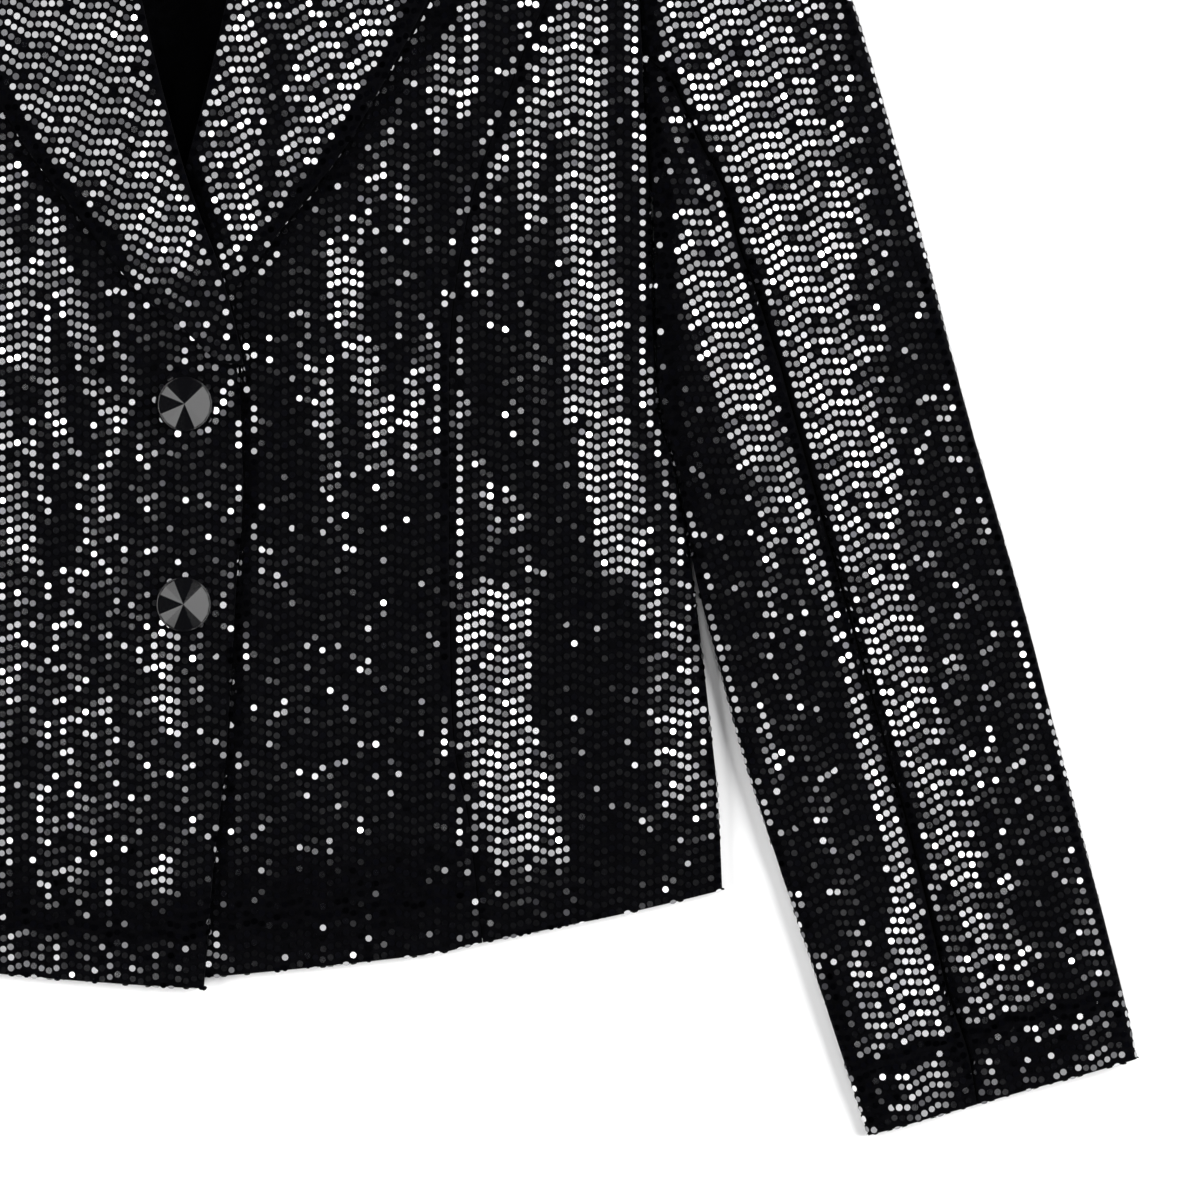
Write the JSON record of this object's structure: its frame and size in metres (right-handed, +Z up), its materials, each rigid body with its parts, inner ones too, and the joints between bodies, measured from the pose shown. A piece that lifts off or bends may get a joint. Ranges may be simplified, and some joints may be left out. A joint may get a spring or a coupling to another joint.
{
  "type": "blazer",
  "caption": "Short fitted blazer laid flat, buttoned, in black cloth covered with small silver sequins, with princess seams, notched lapels and gloss black faceted buttons",
  "frame": {"origin": "on the surface that the blazer lies on, under the middle of its box", "axes": "+X to the wearer's left, across both sleeves; +Y from hem to neck; +Z up, out of the front"},
  "size_m": [0.862, 0.691, 0.0204],
  "materials": {
    "sequinned_cloth": "matt black stretch cloth with rows of small mirror-bright sequins",
    "button": "high gloss black"
  },
  "bodies": {
    "root": {"back": "sequinned_cloth", "left_front_centre": "sequinned_cloth", "left_front_side": "sequinned_cloth", "left_lapel": "sequinned_cloth", "left_sleeve_top": "sequinned_cloth", "left_sleeve_under": "sequinned_cloth", "right_front_centre": "sequinned_cloth", "right_front_side": "sequinned_cloth", "right_lapel": "sequinned_cloth", "right_sleeve_top": "sequinned_cloth", "right_sleeve_under": "sequinned_cloth", "collar": "sequinned_cloth", "button_upper": "button", "button_lower": "button"}
  },
  "joints": []
}
